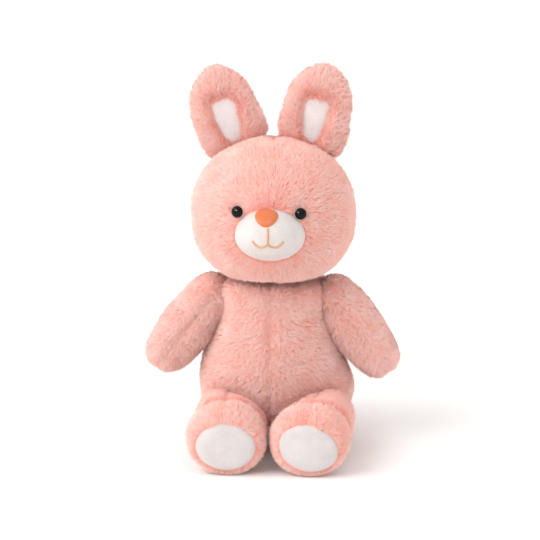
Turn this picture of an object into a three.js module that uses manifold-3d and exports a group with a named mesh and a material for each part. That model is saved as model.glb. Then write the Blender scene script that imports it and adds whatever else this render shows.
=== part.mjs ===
// A seated plush rabbit as sewn panels, stuffing wads and hard trim, each one its own solid.
// Millimetres, +Z up. The rabbit faces -Y and the origin is the middle of the flat seat under
// its body. Left and right are as seen from the front, so left is at -X.
import * as THREE from "three";
import { ConvexGeometry } from "three/addons/geometries/ConvexGeometry.js";
import { mergeVertices } from "three/addons/utils/BufferGeometryUtils.js";
import Module from "manifold-3d";

const wasm = await Module();
wasm.setup();

// ---------------------------------------------------------------- driving dimensions

const SKIN = 3; // plush fabric, backing and pressed pile together
const GAP = 0.35; // between pieces that touch
const SEAM = 0.5; // between two panels along a seam
const MOVE_GAP = 1.7; // between a moving part and what it turns in
const ROUND = 20; // segments round the head and the body
const LIMB_ROUND = 12; // segments round an arm, a leg or an ear
const ROOM_ROUND = 12; // segments round the room that a limb turns in

const HEAD = {
  halfWidth: 71.5,
  halfDepth: 61,
  halfHeight: 64,
  cheek: 2.4, // superellipse power of the lower half: over 2 is fuller than an ellipse
  centre: new THREE.Vector3(0, -3, 203),
  seamY: 6, // the seam between the front and the back panels
};

const BODY = {
  hipRadius: 67.5,
  hipHeight: 47,
  waistRadius: 59,
  waistHeight: 84,
  chestRadius: 48,
  chestHeight: 118,
  top: 156,
  depthShare: 0.8, // front to back against side to side
  centreY: 4,
  seamY: 6, // the side seams
};

const SEAT = { halfWidth: 42, halfDepth: 33, height: 18 };
const PELLET_BAG = { halfWidth: 32, halfDepth: 24, height: 18, setBack: 9 };
const NECK = { radius: 21, bottom: 112 };
const TAIL = { radius: 21, sunk: 6, height: 44 };

const ARM = {
  rootRadius: 22,
  midRadius: 24.5,
  tipRadius: 21,
  length: 58.5, // from the shoulder to the centre of the round tip
  depthShare: 0.9,
  shoulder: new THREE.Vector3(53.5, -1, 125),
  outward: { left: 38.5, right: 37 }, // degrees from straight down
  forward: 10,
  raise: 60,
};

const LEG = {
  rootRadius: 29,
  ankleRadius: 30,
  footRadius: 32.5,
  toeRound: 15, // radius of the foot's front edge
  length: 78, // from the hip to the sole
  heightShare: 0.92,
  spread: { left: 5, right: 10.5 }, // from the inside of a foot to the middle of the toy, at the hip
  ahead: 37, // of the middle of the seat
  offFloor: 0.6,
  toeIn: { left: 5, right: 6.3 },
  roll: { left: -2, right: 9 }, // degrees about the leg's own axis
  lift: 25,
  drop: 40,
};
const SOLE = { halfWidth: 25, halfHeight: 20.5, drop: 5 };

const EAR = {
  halfWidth: 30,
  length: 71, // from the hinge line to the tip
  thickness: 9.5, // half of it
  thinnest: 0.3, // that any form inside the ear gets
  pinch: 6.6, // half the thickness where the ear is sewn in
  rootRadius: 8, // of the round root that turns in the head
  rootHalfWidth: 27,
  buried: 4,
  tilt: { left: 18.5, right: 11.5 }, // degrees outward from upright
  root: new THREE.Vector3(31, 6, 259.5),
  back: 25,
  forward: 35,
};
const EAR_LINING = { halfWidth: 11, footHalfWidth: 8, top: 37, foot: 6, recess: 3, thickness: 2 };

const MUZZLE = { halfWidth: 28.8, reach: 34, halfHeight: 24, y: -48, z: 192.3, thickness: 2 };
const NOSE = { halfWidth: 9.2, halfHeight: 5.6, bulge: 4.5, taper: 0.28, rise: 15, tilt: 30 };
const MOUTH = { thread: 0.8, top: 8, split: -3.5, halfWidth: 13, dip: 3.6, cornerRise: 1.8 };
const EYE = { radius: 4.8, dome: 4, shank: 1.8, shankLength: 12, spread: 27, z: 210.5 };
const WASHER = { radius: 6, thickness: 1.6, below: SKIN + 1.5 };
const LABEL = { width: 9, drop: 15, thickness: 0.8, sewnAt: 24 };
const STITCH = { thread: 0.6, halfWidth: 2.2, count: 8, from: 78, to: 118 };

// ---------------------------------------------------------------- materials

const COLOURS = {
  fur: [0xf2b0a2, 1.0],
  minky: [0xf4efec, 0.9],
  satin: [0xe8702f, 0.4],
  thread: [0xe0a06c, 0.6],
  plastic: [0x0a0a0b, 0.12],
  washer: [0xe9e9e4, 0.5],
  wadding: [0xfafaf7, 1.0],
  bag: [0xece8df, 0.9],
  label: [0xf3f3f0, 0.5],
};
const materials = Object.fromEntries(
  Object.entries(COLOURS).map(([name, [color, roughness]]) => [
    name,
    new THREE.MeshStandardMaterial({ color, roughness, metalness: 0 }),
  ]),
);

// ---------------------------------------------------------------- solids

const radians = THREE.MathUtils.degToRad;
const X_AXIS = new THREE.Vector3(1, 0, 0);
const Y_AXIS = new THREE.Vector3(0, 1, 0);
const Z_AXIS = new THREE.Vector3(0, 0, 1);

/** A closed three.js geometry as a solid. */
function solidOf(geometry) {
  const bare = geometry.clone();
  bare.deleteAttribute("normal");
  bare.deleteAttribute("uv");
  const merged = mergeVertices(bare, 1e-3);
  return new wasm.Manifold(
    new wasm.Mesh({
      numProp: 3,
      vertProperties: merged.attributes.position.array,
      triVerts: new Uint32Array(merged.index.array),
    }),
  );
}

/** A solid as a three.js geometry. */
function geometryOf(solid) {
  const { vertProperties, triVerts } = solid.getMesh();
  const geometry = new THREE.BufferGeometry();
  geometry.setAttribute("position", new THREE.BufferAttribute(vertProperties, 3));
  geometry.setIndex(new THREE.BufferAttribute(triVerts, 1));
  geometry.computeVertexNormals();
  return geometry;
}

/** A named piece of the toy. */
function piece(name, solid, material) {
  const mesh = new THREE.Mesh(geometryOf(solid), materials[material]);
  mesh.name = name;
  return mesh;
}

/** A profile of [radius, height] points turned about Z. */
function turned(profile, segments) {
  return solidOf(new THREE.LatheGeometry(profile, segments).rotateX(Math.PI / 2));
}

/** A path's points, evenly spaced, with both ends put on the axis. */
function profileOf(path, steps) {
  const profile = path.getSpacedPoints(steps);
  profile[0].x = 0;
  profile.at(-1).x = 0;
  return profile;
}

/** A profile moved inwards by depth. Its ends stay on the axis. */
function inset(profile, depth) {
  return profile.map((point, i) => {
    if (point.x === 0) return new THREE.Vector2(0, point.y + (i ? -depth : depth));
    const along = profile[i + 1].clone().sub(profile[i - 1]).normalize();
    return new THREE.Vector2(point.x - along.y * depth, point.y + along.x * depth);
  });
}

/** The space beyond a plane, as far as the toy reaches. Its normal points into the space. */
function halfSpace(normal, distance) {
  const size = 900;
  const box = new THREE.BoxGeometry(size, size, size).translate(0, 0, size / 2 + distance);
  const turn = new THREE.Quaternion().setFromUnitVectors(
    Z_AXIS,
    new THREE.Vector3(...normal).normalize(),
  );
  return solidOf(box.applyQuaternion(turn));
}

/** The part of a solid on one side of a plane, half a seam away from it. */
const sideOf = (solid, normal, distance = 0) =>
  solid.intersect(halfSpace(normal, distance + SEAM / 2));

/** A column of elliptic section, from one height to another. */
function column(halfWidth, halfDepth, from, to) {
  const disc = new THREE.CylinderGeometry(1, 1, to - from, ROUND).rotateX(Math.PI / 2);
  return solidOf(disc.scale(halfWidth, halfDepth, 1).translate(0, 0, (from + to) / 2));
}

/** An ellipsoid about a centre, with every half axis smaller by depth. */
function ellipsoid(halfAxes, centre, depth = 0) {
  const ball = new THREE.SphereGeometry(1, LIMB_ROUND + 2, LIMB_ROUND - 4).rotateX(Math.PI / 2);
  return solidOf(ball.scale(...halfAxes.map((half) => half - depth)).translate(...centre));
}

/** A thread along points, as one closed tube. */
function threadAlong(points, radius, steps) {
  const sides = 5;
  const section = new THREE.Shape(
    Array.from({ length: sides }, (_, i) => {
      const angle = (2 * Math.PI * i) / sides;
      return new THREE.Vector2(radius * Math.cos(angle), radius * Math.sin(angle));
    }),
  );
  const extrudePath = new THREE.CatmullRomCurve3(points);
  return solidOf(new THREE.ExtrudeGeometry(section, { steps, extrudePath }));
}

/** A closed outline in X and Z, filled through the toy from front to back. */
function cutterOf(shape) {
  const depth = 60;
  const options = { depth, bevelEnabled: false, curveSegments: 8 };
  const prism = new THREE.ExtrudeGeometry(shape, options).rotateX(Math.PI / 2);
  return solidOf(prism.translate(0, depth / 2, 0));
}

/** The room that a form in a holder passes through as it turns, from and to in degrees. */
function roomOf(form, holder, axis, from, to) {
  const steps = 3;
  const points = [];
  const { numProp, vertProperties } = form.getMesh();
  for (let i = 0; i <= steps; i += 1) {
    const angle = radians(THREE.MathUtils.lerp(from, to, i / steps));
    for (let v = 0; v < vertProperties.length; v += numProp) {
      const point = new THREE.Vector3().fromArray(vertProperties, v);
      point.applyMatrix4(holder.matrix).sub(holder.position);
      points.push(point.applyAxisAngle(axis, angle).add(holder.position));
    }
  }
  return solidOf(new ConvexGeometry(points));
}

/** A solid of the toy's frame, seen from inside a holder. */
const fromInside = (solid, holder) =>
  solid.transform(holder.matrix.clone().invert().elements);

// ---------------------------------------------------------------- stuffed forms

/** The head's outer form, smaller all round by depth. round makes it as deep as it is wide. */
function headForm(depth, round = false) {
  const rings = 12;
  const profile = Array.from({ length: rings + 1 }, (_, i) => {
    const angle = Math.PI * (i / rings - 0.5);
    const power = angle < 0 ? 2 / HEAD.cheek : 1;
    const across = i % rings ? Math.cos(angle) ** power : 0;
    const up = Math.sign(angle) * Math.abs(Math.sin(angle)) ** power;
    return new THREE.Vector2((HEAD.halfWidth - depth) * across, (HEAD.halfHeight - depth) * up);
  });
  const share = (HEAD.halfDepth - depth) / (HEAD.halfWidth - depth);
  return turned(profile, ROUND)
    .scale([1, round ? 1 : share, 1])
    .translate(HEAD.centre.toArray());
}

/** The body's pear form, smaller all round by depth, with its seat flat on the floor. */
function bodyForm(depth) {
  const side = new THREE.SplineCurve([
    new THREE.Vector2(0, -7),
    new THREE.Vector2(36, -3),
    new THREE.Vector2(57, 14),
    new THREE.Vector2(BODY.hipRadius, BODY.hipHeight),
    new THREE.Vector2(BODY.waistRadius, BODY.waistHeight),
    new THREE.Vector2(BODY.chestRadius, BODY.chestHeight),
    new THREE.Vector2(BODY.chestRadius * 0.78, BODY.top - 14),
    new THREE.Vector2(0, BODY.top),
  ]);
  const share = (BODY.hipRadius * BODY.depthShare - depth) / (BODY.hipRadius - depth);
  return turned(inset(profileOf(side, 14), depth), ROUND)
    .scale([1, share, 1])
    .translate([0, BODY.centreY, 0])
    .intersect(halfSpace([0, 0, 1], depth));
}

/** An arm along +Z from its shoulder at the origin, smaller all round by depth. */
function armForm(depth, segments = LIMB_ROUND) {
  const { rootRadius, midRadius, tipRadius, length } = ARM;
  const side = new THREE.Path();
  side.absarc(0, 0, rootRadius, -Math.PI / 2, 0);
  side.splineThru([
    new THREE.Vector2(midRadius, length * 0.5),
    new THREE.Vector2(tipRadius, length),
  ]);
  side.absarc(0, length, tipRadius, 0, Math.PI / 2);
  const share = (midRadius * ARM.depthShare - depth) / (midRadius - depth);
  return turned(inset(profileOf(side, 11), depth), segments).scale([1, share, 1]);
}

/** A leg along +Z from its hip at the origin to its sole, smaller all round by depth. */
function legForm(depth, segments = LIMB_ROUND + 2) {
  const { rootRadius, ankleRadius, footRadius, toeRound, length } = LEG;
  const side = new THREE.Path();
  side.absarc(0, 0, rootRadius, -Math.PI / 2, 0);
  side.splineThru([
    new THREE.Vector2(ankleRadius, length * 0.35),
    new THREE.Vector2(footRadius, length - toeRound),
  ]);
  side.absarc(footRadius - toeRound, length - toeRound, toeRound, 0, Math.PI / 2);
  side.lineTo(0, length);
  const share = (footRadius * LEG.heightShare - depth) / (footRadius - depth);
  return turned(inset(profileOf(side, 13), depth), segments).scale([1, share, 1]);
}

/** An ear's pinched root, a barrel along the line that the ear is sewn in on. */
function earRoot(depth) {
  const barrel = new THREE.SphereGeometry(1, LIMB_ROUND - 4, LIMB_ROUND / 2).rotateZ(Math.PI / 2);
  const across = EAR.rootRadius - depth;
  return solidOf(barrel.scale(EAR.rootHalfWidth - depth, across, across));
}

/** An ear standing along +Z, its front towards -Y, smaller all round by depth. */
function earForm(depth) {
  const tall = EAR.length + EAR.buried;
  const form = new THREE.SphereGeometry(1, LIMB_ROUND, LIMB_ROUND - 4).rotateX(Math.PI / 2);
  const place = form.attributes.position;
  for (let i = 0; i < place.count; i += 1) {
    const z = THREE.MathUtils.clamp(place.getZ(i), -1, 1);
    const ring = Math.sqrt(1 - z * z) || 1;
    const power = z < 0 ? 5 : 1.9; // square at the root and round at the tip
    const round = (1 - Math.abs(z) ** power) ** (1 / power);
    const puff = THREE.MathUtils.smoothstep(z, -1, 0);
    const thickness = THREE.MathUtils.lerp(EAR.pinch, EAR.thickness, puff);
    place.setXYZ(
      i,
      (place.getX(i) / ring) * Math.max(EAR.halfWidth * round - depth, EAR.thinnest),
      (place.getY(i) / ring) * Math.max(thickness * round - depth, EAR.thinnest),
      (tall / 2 - depth) * z + tall / 2 - EAR.buried,
    );
  }
  return solidOf(form).add(earRoot(depth));
}

/** The muzzle's outer form, smaller all round by depth. */
const muzzleForm = (depth = 0) =>
  ellipsoid(
    [MUZZLE.halfWidth, MUZZLE.reach, MUZZLE.halfHeight],
    [0, MUZZLE.y, MUZZLE.z],
    depth,
  );

/** A point over the muzzle, x and z from its middle, lifted off its surface. */
function onMuzzle(x, z, lift) {
  const { halfWidth, reach, halfHeight } = MUZZLE;
  const ahead = Math.sqrt(1 - (x / halfWidth) ** 2 - (z / halfHeight) ** 2);
  const normal = new THREE.Vector3(x / halfWidth ** 2, -ahead / reach, z / halfHeight ** 2);
  return new THREE.Vector3(x, MUZZLE.y - reach * ahead, MUZZLE.z + z).addScaledVector(
    normal.normalize(),
    lift,
  );
}

// ---------------------------------------------------------------- limbs in their places

/** +1 for the side at +X and -1 for the side at -X. */
const SIDES = { left: -1, right: 1 };

/** A group at a joint that lies on the given side, with its +Z along the limb. */
function holderAt(joint, side, along, roll = 0) {
  const group = new THREE.Group();
  group.position.copy(joint).setX(SIDES[side] * joint.x);
  group.quaternion.setFromUnitVectors(Z_AXIS, along.normalize());
  group.rotateZ(radians(roll));
  group.updateMatrix();
  return group;
}

/** The two halves of a limb's skin, along a seam that runs over its front and its back. */
const halves = (limb, side, skin, outer) => [
  piece(`${limb}_${side}_outer`, sideOf(skin, [outer, 0, 0]), "fur"),
  piece(`${limb}_${side}_inner`, sideOf(skin, [-outer, 0, 0]), "fur"),
];

function makeArm(side) {
  const outward = radians(ARM.outward[side]);
  const forward = radians(ARM.forward);
  const along = new THREE.Vector3(
    SIDES[side] * Math.sin(outward),
    -Math.cos(outward) * Math.sin(forward),
    -Math.cos(outward) * Math.cos(forward),
  );
  const group = holderAt(ARM.shoulder, side, along);
  // An arm hangs upside down, so the holder's X points into the body on the right.
  group.add(
    ...halves("arm", side, armForm(0).subtract(armForm(SKIN)), -SIDES[side]),
    piece(`arm_${side}_stuffing`, armForm(SKIN + GAP), "wadding"),
  );
  const clear = armForm(-MOVE_GAP, ROOM_ROUND);
  return { group, room: roomOf(clear, group, Y_AXIS, 0, -SIDES[side] * ARM.raise) };
}

function makeLeg(side) {
  const toeIn = radians(LEG.toeIn[side]);
  const along = new THREE.Vector3(-SIDES[side] * Math.sin(toeIn), -Math.cos(toeIn), 0);
  const { footRadius, heightShare, spread, ahead, offFloor } = LEG;
  const hip = new THREE.Vector3(
    footRadius + spread[side],
    -ahead,
    footRadius * heightShare + offFloor,
  );
  const group = holderAt(hip, side, along, LEG.roll[side]);
  const standing = (depth) =>
    legForm(depth).intersect(fromInside(halfSpace([0, 0, 1], depth), group));
  const skin = standing(0).subtract(standing(SKIN));
  const soleCutter = (grow) => {
    const { halfWidth, halfHeight, drop } = SOLE;
    const disc = column(halfWidth + grow, halfHeight + grow, LEG.length - SKIN * 2, LEG.length + SKIN);
    return disc.translate([0, -drop, 0]);
  };
  group.add(
    ...halves("leg", side, skin.subtract(soleCutter(SEAM)), SIDES[side]),
    piece(`leg_${side}_sole`, skin.intersect(soleCutter(0)), "minky"),
    piece(`leg_${side}_stuffing`, standing(SKIN + GAP), "wadding"),
  );
  const clear = legForm(-MOVE_GAP, ROOM_ROUND);
  return { group, room: roomOf(clear, group, X_AXIS, -LEG.lift, LEG.drop) };
}

/** The outline of an ear's lining, larger all round by grow. */
function liningOutline(grow) {
  const { halfWidth, footHalfWidth, top, foot } = EAR_LINING;
  const shape = new THREE.Shape();
  shape.moveTo(-footHalfWidth - grow, foot - grow);
  shape.lineTo(footHalfWidth + grow, foot - grow);
  shape.lineTo(halfWidth + grow, top - halfWidth);
  shape.absarc(0, top - halfWidth, halfWidth + grow, 0, Math.PI);
  return cutterOf(shape);
}

function makeEar(side) {
  const tilt = SIDES[side] * radians(EAR.tilt[side]);
  const along = new THREE.Vector3(Math.sin(tilt), 0, Math.cos(tilt));
  const group = holderAt(EAR.root, side, along);
  const skin = earForm(0).subtract(earForm(SKIN));
  const front = sideOf(skin, [0, -1, 0]);
  const { recess, thickness } = EAR_LINING;
  const sunk = earForm(recess).subtract(earForm(recess + thickness));
  const lining = sunk.intersect(liningOutline(0)).intersect(halfSpace([0, -1, 0], 0));
  group.add(
    piece(`ear_${side}_back`, sideOf(skin, [0, 1, 0]), "fur"),
    piece(`ear_${side}_rim`, front.subtract(liningOutline(SEAM)), "fur"),
    piece(`ear_${side}_lining`, lining, "minky"),
    piece(`ear_${side}_wadding`, earForm(recess + thickness + GAP), "wadding"),
  );
  const hinge = X_AXIS.clone().applyQuaternion(group.quaternion);
  const room = roomOf(earForm(-MOVE_GAP), group, hinge, -EAR.back, EAR.forward);
  return { group, room };
}

const sideNames = Object.keys(SIDES);
const ears = sideNames.map(makeEar);
const arms = sideNames.map(makeArm);
const legs = sideNames.map(makeLeg);
const roomFor = (limbs) => wasm.Manifold.union(limbs.map((limb) => limb.room));

// ---------------------------------------------------------------- head

/** The point of the head's surface under an eye, and the way out of the head there. */
function eyeSeat(side) {
  const { halfWidth, halfDepth, halfHeight, centre } = HEAD;
  const x = SIDES[side] * EYE.spread;
  const z = EYE.z - centre.z;
  const ahead = Math.sqrt(1 - (x / halfWidth) ** 2 - (z / halfHeight) ** 2);
  const normal = new THREE.Vector3(x / halfWidth ** 2, -ahead / halfDepth, z / halfHeight ** 2);
  return new THREE.Matrix4().compose(
    new THREE.Vector3(x, centre.y - halfDepth * ahead, EYE.z),
    new THREE.Quaternion().setFromUnitVectors(Z_AXIS, normal.normalize()),
    new THREE.Vector3(1, 1, 1),
  );
}

/** A round bar along an eye's shank, between two depths below the head's surface. */
function eyeBar(side, radius, from, to) {
  const bar = new THREE.CylinderGeometry(radius, radius, to - from, LIMB_ROUND - 4).rotateX(Math.PI / 2);
  return solidOf(bar.translate(0, 0, -(from + to) / 2)).transform(eyeSeat(side).elements);
}

function makeEye(side) {
  const back = GAP + 0.3; // the head is round under the flat back of the eye
  const outline = new THREE.Path();
  outline.moveTo(0, back);
  outline.lineTo(EYE.radius, back);
  outline.absellipse(0, back, EYE.radius, EYE.dome, 0, Math.PI / 2);
  const profile = outline.getPoints(5);
  profile.at(-1).x = 0;
  const dome = turned(profile, LIMB_ROUND).transform(eyeSeat(side).elements);
  const shank = eyeBar(side, EYE.shank, -back - 1, EYE.shankLength);
  const { radius, thickness, below } = WASHER;
  const washer = eyeBar(side, radius, below, below + thickness).subtract(
    eyeBar(side, EYE.shank + GAP, 0, EYE.shankLength),
  );
  return [
    piece(`eye_${side}`, dome.add(shank), "plastic"),
    piece(`eye_${side}_washer`, washer, "washer"),
  ];
}

/** The hole for an eye's shank. */
const shankHole = (side) => eyeBar(side, EYE.shank + GAP, -2, EYE.shankLength + GAP);

/** The room in the stuffing for an eye's shank and washer. */
const washerRoom = (side) =>
  shankHole(side).add(eyeBar(side, WASHER.radius + GAP, 0, WASHER.below + WASHER.thickness + GAP));

function makeNose() {
  const form = new THREE.SphereGeometry(1, LIMB_ROUND, LIMB_ROUND - 4);
  const place = form.attributes.position;
  for (let i = 0; i < place.count; i += 1) {
    const width = NOSE.halfWidth * (1 + NOSE.taper * place.getZ(i)); // narrower below
    place.setXYZ(i, place.getX(i) * width, place.getY(i) * NOSE.bulge, place.getZ(i) * NOSE.halfHeight);
  }
  form.rotateX(-radians(NOSE.tilt)).translate(...onMuzzle(0, NOSE.rise, 0));
  return solidOf(form).subtract(muzzleForm(-GAP));
}

/** A stitched line down from the nose that parts into two smiling arcs. */
function makeMouth() {
  const { thread, top, split, halfWidth, dip, cornerRise } = MOUTH;
  const at = (x, z) => onMuzzle(x, z, thread + GAP);
  const lip = (side) => [
    at(0, split),
    at(side * halfWidth * 0.25, split - dip * 0.8),
    at(side * halfWidth * 0.55, split - dip),
    at(side * halfWidth * 0.85, split - dip * 0.3),
    at(side * halfWidth, split + cornerRise),
  ];
  const line = [at(0, split - thread), at(0, (split + top) / 2), at(0, top)];
  return wasm.Manifold.union([
    threadAlong(line, thread, 4),
    threadAlong(lip(-1), thread, 9),
    threadAlong(lip(1), thread, 9),
  ]);
}

function makeHead() {
  const group = new THREE.Group();
  const earRoom = roomFor(ears);
  const skin = headForm(0)
    .subtract(headForm(SKIN))
    .subtract(earRoom)
    .subtract(shankHole("left"))
    .subtract(shankHole("right"));
  const front = sideOf(skin, [0, -1, 0], -HEAD.seamY);
  const rear = sideOf(skin, [0, 1, 0], HEAD.seamY);
  for (const side of sideNames) {
    group.add(
      piece(`head_front_${side}`, sideOf(front, [SIDES[side], 0, 0]), "fur"),
      piece(`head_back_${side}`, sideOf(rear, [SIDES[side], 0, 0]), "fur"),
      ...makeEye(side),
    );
  }
  const stuffing = headForm(SKIN + GAP)
    .subtract(earRoom)
    .subtract(washerRoom("left"))
    .subtract(washerRoom("right"));
  const overHead = headForm(-GAP);
  const muzzle = muzzleForm().subtract(overHead);
  group.add(
    piece("head_stuffing", stuffing, "wadding"),
    piece("muzzle_cover", muzzle.subtract(muzzleForm(MUZZLE.thickness)), "minky"),
    piece("muzzle_wadding", muzzleForm(MUZZLE.thickness + GAP).subtract(overHead), "wadding"),
    piece("nose", makeNose(), "satin"),
    piece("mouth_stitch", makeMouth(), "thread"),
  );
  return group;
}

// ---------------------------------------------------------------- neck, body and tail

/** The neck's wad of stuffing, larger all round by grow. */
const neckForm = (grow) =>
  column(NECK.radius + grow, NECK.radius + grow, NECK.bottom - grow, HEAD.centre.z)
    .translate([0, HEAD.centre.y, 0]);

/** A point in the middle of the body's front (-1) or back (1), lifted off its surface. */
function onBodyMiddle(z, way, lift) {
  const far = 200;
  const probe = new THREE.BoxGeometry(1, far, 1).translate(0, (way * far) / 2, z);
  const { min, max } = bodyForm(0).intersect(solidOf(probe)).boundingBox();
  return new THREE.Vector3(0, (way < 0 ? min[1] : max[1]) + way * lift, z);
}

function makeTail() {
  const centre = onBodyMiddle(TAIL.height, 1, TAIL.radius - TAIL.sunk).toArray();
  const ball = (depth) => ellipsoid([TAIL.radius, TAIL.radius, TAIL.radius], centre, depth);
  const offBody = bodyForm(-GAP);
  return [
    piece("tail_cover", ball(0).subtract(ball(SKIN)).subtract(offBody), "minky"),
    piece("tail_stuffing", ball(SKIN + GAP).subtract(offBody), "wadding"),
  ];
}

/** The thread that closes the back seam, in the zigzag of a ladder stitch. */
function makeClosingStitch() {
  const { thread, halfWidth, count, from, to } = STITCH;
  const turns = count * 2;
  const points = Array.from({ length: turns + 1 }, (_, i) => {
    const z = THREE.MathUtils.lerp(from, to, i / turns);
    return onBodyMiddle(z, 1, thread + 2 * GAP).setX(i % 2 ? halfWidth : -halfWidth);
  });
  return threadAlong(points, thread, turns * 2);
}

/** A blank strip of tape, sewn in at the front of the seat and hanging between the legs. */
function makeLabel() {
  const { width, drop, thickness, sewnAt } = LABEL;
  const { y } = onBodyMiddle(sewnAt, -1, GAP);
  const lower = y - drop / 5;
  const shape = new THREE.Shape();
  shape.moveTo(y, sewnAt);
  shape.quadraticCurveTo(y - thickness, sewnAt - drop / 2, lower, sewnAt - drop);
  shape.lineTo(lower - thickness, sewnAt - drop);
  shape.quadraticCurveTo(y - 2 * thickness, sewnAt - drop / 2, y - thickness, sewnAt);
  const options = { depth: width, bevelEnabled: false, curveSegments: 6 };
  const strip = new THREE.ExtrudeGeometry(shape, options).translate(0, 0, -width / 2);
  // The outline was drawn with Y across and Z up, so its depth is turned to X.
  return solidOf(strip.applyMatrix4(new THREE.Matrix4().makeBasis(Y_AXIS, Z_AXIS, X_AXIS)));
}

function makeBody() {
  const group = new THREE.Group();
  const taken = wasm.Manifold.union([
    roomFor(arms),
    roomFor(legs),
    headForm(-MOVE_GAP, true),
    neckForm(MOVE_GAP),
  ]);
  const skin = bodyForm(0).subtract(bodyForm(SKIN)).subtract(taken);
  const seatCutter = (grow) =>
    column(SEAT.halfWidth + grow, SEAT.halfDepth + grow, -1, SEAT.height)
      .translate([0, BODY.centreY, 0]);
  const above = skin.subtract(seatCutter(SEAM));
  const front = sideOf(above, [0, -1, 0], -BODY.seamY);
  const rear = sideOf(above, [0, 1, 0], BODY.seamY);
  for (const side of sideNames) {
    group.add(
      piece(`body_front_${side}`, sideOf(front, [SIDES[side], 0, 0]), "fur"),
      piece(`body_back_${side}`, sideOf(rear, [SIDES[side], 0, 0]), "fur"),
    );
  }
  const inside = bodyForm(SKIN + GAP).subtract(taken);
  const { halfWidth, halfDepth, height, setBack } = PELLET_BAG;
  const bag = (depth) =>
    ellipsoid([halfWidth, halfDepth, height], [0, BODY.centreY + setBack, SKIN], depth);
  group.add(
    piece("seat_panel", skin.intersect(seatCutter(0)), "fur"),
    piece("body_stuffing", inside.subtract(bag(-GAP)), "wadding"),
    piece("pellet_bag", inside.intersect(bag(0)), "bag"),
    piece("closing_stitch", makeClosingStitch(), "thread"),
    piece("care_label", makeLabel(), "label"),
    ...makeTail(),
  );
  return group;
}

const rabbit = new THREE.Group();
rabbit.add(
  makeBody(),
  piece("neck_wadding", neckForm(0).subtract(headForm(-MOVE_GAP)), "wadding"),
  makeHead(),
  ...[...ears, ...arms, ...legs].map((limb) => limb.group),
);

export default rabbit;
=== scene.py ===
"""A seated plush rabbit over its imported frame: stuffed forms, panels, pile, trim and a studio."""
import math

import bmesh
import bpy
import numpy as np
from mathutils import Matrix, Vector, kdtree, noise
from mathutils.bvhtree import BVHTree


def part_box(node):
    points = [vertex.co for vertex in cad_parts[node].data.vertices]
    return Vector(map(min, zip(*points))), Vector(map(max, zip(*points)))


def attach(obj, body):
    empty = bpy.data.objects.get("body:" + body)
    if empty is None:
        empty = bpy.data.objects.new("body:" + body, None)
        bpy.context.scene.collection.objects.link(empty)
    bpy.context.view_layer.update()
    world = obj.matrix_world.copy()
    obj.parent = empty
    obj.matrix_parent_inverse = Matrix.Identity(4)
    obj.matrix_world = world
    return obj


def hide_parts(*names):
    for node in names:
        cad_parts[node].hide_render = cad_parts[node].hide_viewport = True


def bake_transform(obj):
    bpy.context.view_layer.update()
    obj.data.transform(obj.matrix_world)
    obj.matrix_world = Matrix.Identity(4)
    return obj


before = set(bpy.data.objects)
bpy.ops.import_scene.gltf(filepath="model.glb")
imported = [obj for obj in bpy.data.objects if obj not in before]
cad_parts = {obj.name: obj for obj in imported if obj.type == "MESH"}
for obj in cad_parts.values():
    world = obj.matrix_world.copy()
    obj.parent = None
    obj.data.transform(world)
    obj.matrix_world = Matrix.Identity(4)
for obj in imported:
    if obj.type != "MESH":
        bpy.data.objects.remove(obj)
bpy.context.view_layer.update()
MM = 0.001
PICTURE = 540  # the photo's width and height in pixels

# ------------------------------------------------------------------ sizes shared with the frame

SKIN = 3 * MM  # how far the backing lies under the frame's surface, which stands for fur tips
HEAD = Vector((0, -3, 203)) * MM
HEAD_HALF = Vector((71.5, 61, 64)) * MM
SHOULDER = Vector((53.5, -1, 125)) * MM
HIP = {"left": Vector((-37.5, -37, 30.5)) * MM, "right": Vector((43, -37, 30.5)) * MM}
EAR_ROOT = Vector((31, 6, 259.5)) * MM
EAR_TILT = {"left": -18.5, "right": 11.5}  # degrees outward from upright, to +X
SIDES = {"left": -1, "right": 1}
HEAD_SEAM_Y = 6 * MM
BODY_SEAM_Y = 6 * MM
SEAM_WIDTH = 1.6 * MM  # how far to each side a seam draws the fabric in
SEAM_HOLD_REACH = 3.5 * MM  # how far to each side a seam keeps the form from swelling

# ------------------------------------------------------------------ pile

PILE = 4.6 * MM
PILE_WIDTH = 0.4 * MM
PILE_PER_MM2 = 2.9
STRANDS_PER_CLUMP = 16
UPRIGHT_SHARE = 0.12  # strands that stand up out of the brushed pile
UPRIGHT = (22, 46)  # a strand's angles from the surface's normal, lower half and tip, in degrees
LYING = (48, 74)
BRUSHED_ASIDE = 1.3
TONE_LIMITS = (0.01, 0.985)

FOLD_SHARE = 0.3  # how much of a form's swelling the simulated cloth may add or take away

rng = np.random.default_rng(11)


def unit(vectors):
    """Vectors, one per row, made one long."""
    return vectors / np.maximum(np.linalg.norm(vectors, axis=-1, keepdims=True), 1e-9)


def near_zero(value, width):
    """1 where the value is 0, falling off smoothly over a width."""
    return np.exp(-((value / width) ** 2))


def how_far(points, start, way):
    """How far points lie from a start, measured along a way."""
    return (points - np.array(start)) @ np.array(way)


def away_from(points, centre):
    """The distance of each point from a centre."""
    return np.linalg.norm(points - np.array(centre), axis=1)


# ------------------------------------------------------------------ materials


def new_material(name, roughness=0.9, sheen=0.0, coat=0.0, specular=0.3):
    """A node material; its Base Color and bump are linked by whoever asks for it."""
    material = bpy.data.materials.new(name)
    material.use_nodes = True
    shader = material.node_tree.nodes["Principled BSDF"]
    shader.inputs["Roughness"].default_value = roughness
    shader.inputs["Sheen Weight"].default_value = sheen
    shader.inputs["Sheen Roughness"].default_value = 0.5
    shader.inputs["Coat Weight"].default_value = coat
    shader.inputs["Coat Roughness"].default_value = 0.05
    shader.inputs["Specular IOR Level"].default_value = specular
    return material, material.node_tree.nodes, material.node_tree.links, shader


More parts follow.
